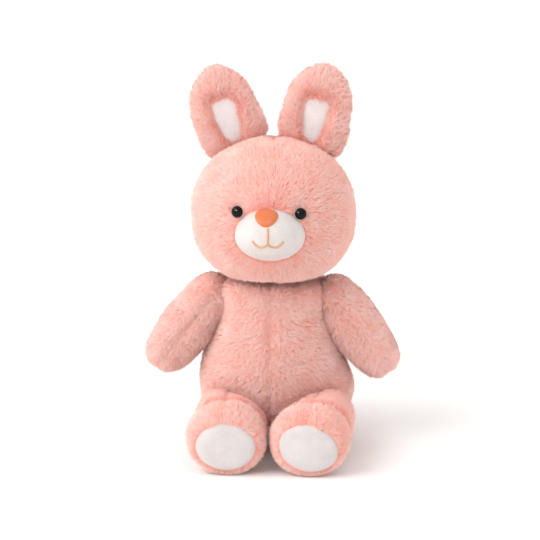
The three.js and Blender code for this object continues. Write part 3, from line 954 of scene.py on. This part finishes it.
def make_head():
    form, seams = head_form()
    tree = tree_of(form)
    fill(form, "head_stuffing", ["head"], 0.9)
    cut(form, [((0, 0, 0), (1, 0, 0)), ((0, HEAD_SEAM_Y, 0), (0, 1, 0))])
    eyes = [eye_place(side)[0] for side in SIDES]

    def bare(points):
        keep = (muzzle_share(points) > 0.95) | (points[:, 1] > 0)
        for eye in eyes:
            keep &= away_from(points, eye) > EYE_RADIUS * 0.98
        return keep.astype(float)

    plain_tone = tone_of(seams, base=0.6)
    crown = HEAD + Vector((0, HEAD_HALF.y, 0))

    def comb(points, normals):
        """Away from the nose in front and away from the middle of the back behind."""
        front = (points[:, 1] < HEAD_SEAM_Y)[:, None]
        return np.where(front, radial(NOSE, 0.2)(points, normals), radial(crown)(points, normals))

    def tone(points, normals):
        """Painted shade: darker and rosier on the forehead over the nose, round the muzzle and under the
        chin.
        """
        bridge = np.linalg.norm((points - np.array(NOSE) - [0, 8 * MM, 17 * MM]) / [1.5, 1.5, 1], axis=1)
        edge = np.abs(muzzle_share(points) - 1) + (points[:, 1] > -30 * MM)
        under = away_from(points, CHIN)
        painted_shade = 0.16 * near_zero(bridge, 13 * MM) + 0.12 * near_zero(edge, 0.16)
        return plain_tone(points, normals) - painted_shade - 0.1 * near_zero(under, 16 * MM)

    cover(form, quarters("head", HEAD_SEAM_Y), comb, tone, ["head"], keep=bare)
    for side in SIDES:
        make_eye(side)
    make_face()
    return tree


# ------------------------------------------------------------------ body


def body_form():
    seams = [plane((0, 0, 0), (1, 0, 0)), plane((0, BODY_SEAM_Y, 0), (0, 1, 0))]
    nodes = [f"body_{e}_{s}" for e in ("front", "back") for s in SIDES] + ["seat_panel"]
    form = stuffed("body", nodes, seams, swell=0.6 * MM)
    crumple(form, 1.0 * MM, 30 * MM, 6.0)
    points = points_of(form)
    # The hips spread out over the floor, a little more to the right.
    hips = near_zero(points[:, 2] - 44 * MM, 14 * MM)
    off_middle = np.minimum(np.abs(points[:, 0]) / (50 * MM), 1)
    points[:, 0] += hips * (np.sign(points[:, 0]) * 0.7 * MM + 3.1 * MM) * off_middle
    # The shoulders are full right up to the head.
    chest = np.clip((points[:, 2] - 112 * MM) / (28 * MM), 0, 1) ** 1.4
    points[:, 0] *= 1 + 0.32 * chest
    points[:, 1] = 4 * MM + (points[:, 1] - 4 * MM) * (1 + 0.08 * chest)
    set_points(form, points)
    for seam in seams:
        groove(form, seam)
    points = points_of(form)
    # The head rests in a hollow at the top.
    half = np.array(HEAD_HALF) - 2.5 * MM
    off = (points - np.array(HEAD)) / half
    inside = (np.sum(off**2, 1) < 1) & (points[:, 2] > HEAD.z - HEAD_HALF.z)
    down = -np.sqrt(np.maximum(1 - off[:, 0] ** 2 - off[:, 1] ** 2, 0)) * half[2] + HEAD.z
    points[inside, 2] = np.minimum(chin_pressed(down[inside] - 2.5 * MM) + 1.5 * MM, points[inside, 2])
    # The seat is flat on the floor.
    points[:, 2] = np.maximum(points[:, 2], 0.8 * MM)
    set_points(form, points)
    return form, seams


def make_body(near):
    form, seams = body_form()
    tree = tree_of(form)
    fill(form, "body_stuffing", ["torso"], 0.8, seed=3.0)
    cut(form, [((0, 0, 0), (1, 0, 0)), ((0, BODY_SEAM_Y, 0), (0, 1, 0))])

    def seat(c):
        return ((c[:, 0] / (42 * MM)) ** 2 + ((c[:, 1] - 4 * MM) / (33 * MM)) ** 2 < 1) & (c[:, 2] < 12 * MM)

    owners = {"seat_panel": seat, **quarters("body", BODY_SEAM_Y)}

    def comb(points, normals):
        way = np.zeros_like(points)
        way[:, 0] = np.sign(points[:, 0]) * 0.8
        way[:, 2] = -1.2
        return way

    # Painted shade along the seams and beside the arms and legs.
    tone = tone_of(seams, near, base=0.66)

    def open_air(points):
        """1 where the pile is not pressed under the head."""
        off = (points - np.array(HEAD)) / (np.array(HEAD_HALF) - 1.5 * MM)
        return (np.sum(off**2, 1) > 1).astype(float)

    for node, panel in split(form, owners).items():
        short = node == "seat_panel"
        length = PILE * (0.45 if short else 1)
        grow(panel, comb, tone, PINK_PILE, keep=open_air, length=length, lean=1.25 if short else 1.0)
        settle(panel, node, ["torso"])
    return tree


def make_tail():
    form = hull_of("tail", ["tail_cover"])
    remesh(form, 3 * MM)
    relax(form, 4)
    shrink(form, SKIN)
    middle = between("tail_cover")
    # It is sewn to the body, so its near side reaches into the body's pile.
    points = points_of(form)
    points[:, 1] -= 5 * MM * np.clip((middle.y - points[:, 1]) / (14 * MM), 0, 1)
    set_points(form, points)
    finer(form)
    fill(form, "tail_stuffing", ["torso"], 0.7, depth=1.5 * MM)
    grow(form, radial(middle - Vector((0, 20, 0)) * MM), tone_of([]), WHITE_PILE, length=PILE * 1.5, lean=0.7)
    settle(form, "tail_cover", ["torso"])


# ------------------------------------------------------------------ limbs


def make_arm(side):
    sign = SIDES[side]
    shoulder = Vector((sign * SHOULDER.x, SHOULDER.y, SHOULDER.z))
    nodes = [f"arm_{side}_outer", f"arm_{side}_inner"]
    tip = between(f"arm_{side}_stuffing") * 2 - shoulder
    way = (tip - shoulder).normalized()
    across = way.cross(Vector((0, 1, 0))).normalized()
    seams = [plane(shoulder, across)]
    form = stuffed("arm", nodes, seams, swell=1.6 * MM)
    crumple(form, 1.2 * MM, 20 * MM, 7.0 + sign)
    crease = shoulder + way * 24 * MM
    groove(
        form, seams[0], {"left": 1.5, "right": 0.5}[side] * MM, 2.0 * MM,
        where=lambda points: near_zero(how_far(points, crease, way), 17 * MM),
    )
    ends = (shoulder - way * 4 * MM, shoulder + way * 22 * MM)
    bodies = ["torso", f"arm_{side}"]
    fill(form, f"arm_{side}_stuffing", bodies, 0.8, ends)
    tree = tree_of(form)
    cut(form, [(shoulder, across)])
    outer_sign = 1 if across.z > 0 else -1
    owners = {
        f"arm_{side}_outer": lambda c: seams[0](c) * outer_sign > 0,
        f"arm_{side}_inner": the_rest,
    }
    cover(form, owners, along(way), tone_of(seams), bodies, ends)
    return tree


def make_leg(side):
    sign = SIDES[side]
    hip = HIP[side]
    nodes = [f"leg_{side}_outer", f"leg_{side}_inner", f"leg_{side}_sole"]
    sole = between(f"leg_{side}_sole")
    way = Vector((sole.x - hip.x, sole.y - hip.y, 0)).normalized()
    across = way.cross(Vector((0, 0, 1))).normalized()
    seams = [plane(hip, across, lambda points: points[:, 2] > 46 * MM)]
    form = stuffed("leg", nodes, seams, swell=1.4 * MM)
    points = points_of(form)
    # Behind the round foot the ankle is drawn in, and the thigh slopes down to the crotch.
    reach = how_far(points, hip, way)
    pinch = 1 - 0.36 * near_zero(reach - 43 * MM, 7.5 * MM)
    pinch += 0.05 * np.clip(reach / MM - 55, 0, 1)
    points[:, 0] += {"left": 3, "right": 0}[side] * MM * np.clip(42 - reach / MM, 0, 8) / 8
    middle = np.array(hip) + reach[:, None] * np.array(way)
    points = middle + (points - middle) * pinch[:, None]
    inward = np.clip(0.5 - sign * (points[:, 0] - middle[:, 0]) / (30 * MM), 0, 1)
    high = np.clip((points[:, 2] - hip.z) / (20 * MM), 0, 1)
    points[:, 2] -= 8 * MM * inward * high * np.clip(1 - reach / (46 * MM), 0, 1)
    # The foot's own weight flattens it.
    points[:, 2] = np.maximum(points[:, 2] - 1.2 * MM, 1.0 * MM)
    set_points(form, points)
    crumple(form, 1.0 * MM, 22 * MM, 11.0 + sign)
    points = points_of(form)
    points[:, 2] = np.maximum(points[:, 2], 1.0 * MM)
    set_points(form, points)
    smooth_tree = tree_of(form)
    groove(form, seams[0], 0.8 * MM)
    ends = (hip + way * 2 * MM, hip + way * 32 * MM)
    bodies = ["torso", f"leg_{side}"]
    fill(form, f"leg_{side}_stuffing", bodies, 0.9, ends)
    tree = tree_of(form)
    roll = math.radians({"left": -3, "right": -14}[side])
    half = Vector((25.2, 0, 20.8)) * MM

    def sole_edge(angle):
        x, z = half.x * math.cos(angle), half.z * math.sin(angle)
        return x * math.cos(roll) - z * math.sin(roll), x * math.sin(roll) + z * math.cos(roll)

    def off_sole(points):
        x, z = points[:, 0] - sole.x, points[:, 2] - sole.z
        u = (x * math.cos(roll) + z * math.sin(roll)) / half.x
        v = (z * math.cos(roll) - x * math.sin(roll)) / half.z
        return (~((u**2 + v**2 < 0.9) & (points[:, 1] < sole.y + 10 * MM))).astype(float)

    pad = patch(
        "sole", smooth_tree, sole, sole_edge, SOLE_MINKY, puff=1.6 * MM, lift=0.8 * MM, rings=20, spokes=72,
    )
    settle(pad, f"leg_{side}_sole", [f"leg_{side}"])
    cut(form, [(hip, across)])
    outer_sign = 1 if across.x * sign > 0 else -1
    owners = {
        f"leg_{side}_outer": lambda c: plane(hip, across)(c) * outer_sign > 0,
        f"leg_{side}_inner": the_rest,
    }
    plain_tone = tone_of(seams, base=0.6)

    def tone(points, normals):
        """Painted shade: darker and rosier on the thigh and in the fold of the ankle."""
        fold = how_far(points, hip, way) - 41 * MM
        painted_shade = 0.3 * near_zero(fold, 8 * MM) + 0.12 * (fold < 0)
        return plain_tone(points, normals) - painted_shade * (points[:, 2] > 25 * MM)

    cover(form, owners, along(-way), tone, bodies, ends, keep=off_sole)
    return tree


LINING_SQUARENESS = 3.2  # 2 is an oval, and more is nearer to a box
LINING_LAP = 1.05  # the lining reaches this much past the pile's edge


def make_ear(side, near):
    root = Vector((SIDES[side] * EAR_ROOT.x, EAR_ROOT.y, EAR_ROOT.z))
    tilt = math.radians(EAR_TILT[side])
    up = Vector((math.sin(tilt), 0, math.cos(tilt)))
    right = Vector((math.cos(tilt), 0, -math.sin(tilt)))
    nodes = [f"ear_{side}_back", f"ear_{side}_rim"]
    seams = [plane(root, (0, 1, 0))]
    form = stuffed("ear", nodes, seams, voxel=3 * MM, bulge=1.4 * MM, rounds=5, swell=1.0 * MM)
    low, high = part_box(f"ear_{side}_lining")
    # The lining runs down into the head's pile.
    middle = (low + high) / 2 - up * 1.6 * MM - right * 1.4 * MM
    half_tall = (high.z - low.z) / 2 + 4.4 * MM

    def half_wide(z):
        """Half the lining's width: broad near the tip, narrow at the root."""
        return (11.0 + 2.6 * z / half_tall) * MM

    def lining_share(points):
        """0 in the middle of the lining and 1 at its edge."""
        x = how_far(points, middle, right)
        z = how_far(points, middle, up)
        wide = np.abs(x) / np.maximum(half_wide(z), 3 * MM)
        tall = np.abs(z) / half_tall
        return (wide**LINING_SQUARENESS + tall**LINING_SQUARENESS) ** (1 / LINING_SQUARENESS)

    points = points_of(form)
    across = how_far(points, root, right)
    tall = how_far(points, root, up)
    outward = across * SIDES[side]
    # Broad where it is sewn in, narrow at the tip, with the outer corner following the head down.
    point = {"left": 0.36, "right": 0.14}[side] * np.clip((tall / MM - 50) / 22, 0, 1) ** 1.3
    widen = 1 + 0.1 * near_zero(tall - 10 * MM, 15 * MM) - point
    droop = 7 * MM * np.clip(outward / (26 * MM), 0, 1.2) ** 1.5 * np.clip(1 - tall / (28 * MM), 0, 1.1)
    bow = {"left": -2.4, "right": 0}[side] * MM * np.sin(np.pi * np.clip(tall / (76 * MM), 0, 1))
    points += np.outer(across * (widen - 1) + bow, np.array(right)) - np.outer(droop, np.array(up))
    set_points(form, points)
    front = points[:, 1] < root.y
    share = lining_share(points)
    hollow = np.clip((1.45 - share) / 0.6, 0, 1)
    hollow = hollow * hollow * (3 - 2 * hollow)
    points[:, 1] += np.where(front, hollow * 3.6 * MM, 0)
    points[front, 1] = np.minimum(points[front, 1], root.y - 0.5 * MM)
    set_points(form, points)
    crumple(form, 0.7 * MM, 16 * MM, 14.0)
    tree = tree_of(form)
    ends = (root - up * 2 * MM, root + up * 16 * MM)
    bodies = ["head", f"ear_{side}"]
    fill(form, f"ear_{side}_wadding", bodies, 0.5, ends, depth=1.2 * MM, lump=0.2 * MM)

    def lining_edge(angle):
        x, z = math.cos(angle), math.sin(angle)
        square = (abs(x) ** LINING_SQUARENESS + abs(z) ** LINING_SQUARENESS) ** (-1 / LINING_SQUARENESS)
        z *= square * half_tall * LINING_LAP
        return x * square * half_wide(z) * LINING_LAP, z

    lining = patch(
        "lining", tree, middle, lining_edge, LINING_MINKY, puff=0.6 * MM, lift=0.5 * MM, right=right, up=up
    )
    settle(lining, f"ear_{side}_lining", bodies, ends)
    cut(form, [(root, (0, 1, 0))])
    owners = {
        f"ear_{side}_rim": lambda c: c[:, 1] < root.y,
        f"ear_{side}_back": the_rest,
    }
    # Painted shade: the pile is darker beside the head.
    tone = tone_of([], near)

    def rim_tone_with_painted_shade(points, normals):
        # Painted shade: the rim's pile is darker along the edge of the lining, on the front.
        edge = near_zero(lining_share(points) - 1, 0.3)
        return tone(points, normals) - 0.35 * edge * (points[:, 1] < root.y)

    def bare(points):
        return (~((lining_share(points) < 0.9) & (points[:, 1] < root.y))).astype(float)

    def comb(points, normals):
        sideways = how_far(points, middle, right)[:, None] / (20 * MM)
        return np.array(up) * 1.2 + sideways * np.array(right)

    cover(form, owners, comb, rim_tone_with_painted_shade, bodies, ends, keep=bare)
    return tree


# ------------------------------------------------------------------ trim that keeps its frame shape


def repaint(node, material):
    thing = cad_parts[node]
    thing.data.materials.clear()
    thing.data.materials.append(material)


def make_closing_stitch(body_tree):
    """The thread that laces the back seam shut, wandering from side to side of it."""
    low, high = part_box("closing_stitch")
    loops, steps = 8, 96
    line = []
    for i in range(steps + 1):
        share = i / steps
        swing = math.sin(2 * math.pi * loops * share)
        x = 1.9 * MM * math.copysign(abs(swing) ** 0.6, swing)
        z = low.z + (high.z - low.z) * (0.03 + 0.94 * share)
        hit, normal = body_tree.ray_cast(Vector((x, 0.2, z)), Vector((0, -1, 0)))[:2]
        line.append(hit + (normal if normal.y > 0 else -normal) * 2.6 * MM)
    thread = tube("closing", line, 0.5 * MM)
    thread.data.materials.append(MOUTH_THREAD)
    settle(thread, "closing_stitch", ["torso"])


def make_label():
    """A tape folded in half, its ends in the seam and its fold hanging free."""
    low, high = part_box("care_label")
    middle = (low + high) / 2
    drop, apart, thick = high.z - low.z, 0.7 * MM, 0.25 * MM
    profile = []
    for i in range(13):
        share = i / 12
        profile.append((-apart * (1 - 0.4 * share), high.z - drop * 0.96 * share))
    for i in range(1, 8):
        angle = math.pi * i / 8
        profile.append((-0.6 * apart * math.cos(angle), high.z - drop * 0.96 - 0.4 * MM * math.sin(angle)))
    profile += [(-y, z) for y, z in profile[12::-1]]
    across = 9
    points = []
    for skin in (thick / 2, -thick / 2):
        for k, (y, z) in enumerate(profile):
            before, after = profile[max(k - 1, 0)], profile[min(k + 1, len(profile) - 1)]
            way = Vector((0, after[0] - before[0], after[1] - before[1])).normalized()
            side = Vector((0, way.z, -way.y)) * skin
            for j in range(across):
                x = (j / (across - 1) - 0.5) * (high.x - low.x) * 0.97
                curl = 0.5 * MM * (2 * x / (high.x - low.x)) ** 2 * (high.z - z) / drop
                points.append(Vector((middle.x + x, middle.y + y + curl, z)) + side)
    rows = len(profile)

    def at(layer, k, j):
        return (layer * rows + k) * across + j

    faces = []
    for k in range(rows - 1):
        for j in range(across - 1):
            faces.append((at(0, k, j), at(0, k, j + 1), at(0, k + 1, j + 1), at(0, k + 1, j)))
            faces.append((at(1, k, j), at(1, k + 1, j), at(1, k + 1, j + 1), at(1, k, j + 1)))
        for j in (0, across - 1):
            faces.append((at(0, k, j), at(0, k + 1, j), at(1, k + 1, j), at(1, k, j)))
    for k in (0, rows - 1):
        for j in range(across - 1):
            faces.append((at(0, k, j), at(1, k, j), at(1, k, j + 1), at(0, k, j + 1)))
    label = mesh_object("label", points, faces)
    face_out(label)
    label.data.materials.append(TAPE)
    settle(label, "care_label", ["torso"])


def make_trim(body_tree):
    repaint("pellet_bag", COTTON)
    neck = copy_of(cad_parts["neck_wadding"])
    neck.parent = None
    remesh(neck, 3 * MM)
    shrink(neck, 2.5 * MM)
    crumple(neck, 0.6 * MM, 9 * MM, 5.0)
    neck.data.materials.append(WADDING)
    settle(neck, "neck_wadding", ["neck"])
    make_closing_stitch(body_tree)
    make_label()
    for side in SIDES:
        repaint(f"eye_{side}_washer", WASHER)


# ------------------------------------------------------------------ studio


def make_studio():
    size = 6.0
    corners = [(-size, -size, 0), (size, -size, 0), (size, size, 0), (-size, size, 0)]
    floor = mesh_object("floor", corners, [(0, 1, 2, 3)], smooth=False)
    material, nodes, links, shader = new_material("floor", 0.95, specular=0.05)
    shader.inputs["Base Color"].default_value = (1, 0.995, 0.99, 1)
    floor.data.materials.append(material)
    scene = bpy.context.scene
    world = bpy.data.worlds.new("studio")
    scene.world = world
    world.use_nodes = True
    nodes, links = world.node_tree.nodes, world.node_tree.links
    # The backdrop is blown out to white behind the toy and lights it less than it shows.
    sky = nodes["Background"]
    sky.inputs["Color"].default_value = (1, 0.985, 0.975, 1)
    sky.inputs["Strength"].default_value = 0.95
    backdrop = nodes.new("ShaderNodeBackground")
    backdrop.inputs["Color"].default_value = (1, 1, 1, 1)
    backdrop.inputs["Strength"].default_value = 1.1
    path = nodes.new("ShaderNodeLightPath")
    either = nodes.new("ShaderNodeMixShader")
    links.new(path.outputs["Is Camera Ray"], either.inputs["Fac"])
    links.new(sky.outputs["Background"], either.inputs[1])
    links.new(backdrop.outputs["Background"], either.inputs[2])
    links.new(either.outputs["Shader"], nodes["World Output"].inputs["Surface"])

    def aim(thing, place):
        show(thing)
        thing.location = place
        thing.rotation_euler = (Vector((0, 0, 0.15)) - Vector(place)).to_track_quat("-Z", "Y").to_euler()

    soft = bpy.data.lights.new("softbox", "SUN")
    soft.energy = 1.65
    soft.angle = math.radians(50)
    aim(bpy.data.objects.new("softbox", soft), (-1.0, -0.62, 1.1))
    spark = bpy.data.lights.new("spark", "AREA")
    spark.shape = "DISK"
    spark.size = 0.4
    spark.energy = 26
    glint = bpy.data.objects.new("spark", spark)
    glint.visible_diffuse = False
    aim(glint, (-0.7, -1.3, 0.95))
    scene.view_settings.view_transform = "Standard"


def make_camera():
    azimuth, elevation = math.radians(4), math.radians(12)
    target = Vector((0, 0, 0.170))
    distance = 1.6
    level = Vector((math.sin(azimuth), -math.cos(azimuth), 0))
    out = level * math.cos(elevation) + Vector((0, 0, math.sin(elevation)))
    data = bpy.data.cameras.new("camera")
    camera = show(bpy.data.objects.new("camera", data))
    camera.location = target + out * distance
    camera.rotation_euler = (-out).to_track_quat("-Z", "Y").to_euler()
    data.sensor_width = 36
    data.lens = 124.3
    # The toy sits a little right of the middle of the picture and a little above it.
    data.shift_x = -3.7 / PICTURE
    data.shift_y = -23.5 / PICTURE
    bpy.context.scene.camera = camera


make_camera()
make_studio()
arm_trees = [make_arm(side) for side in SIDES]
leg_trees = [make_leg(side) for side in SIDES]
head_tree = make_head()
for side in SIDES:
    make_ear(side, [head_tree])
body_tree = make_body(arm_trees + leg_trees)
make_tail()
make_trim(body_tree)
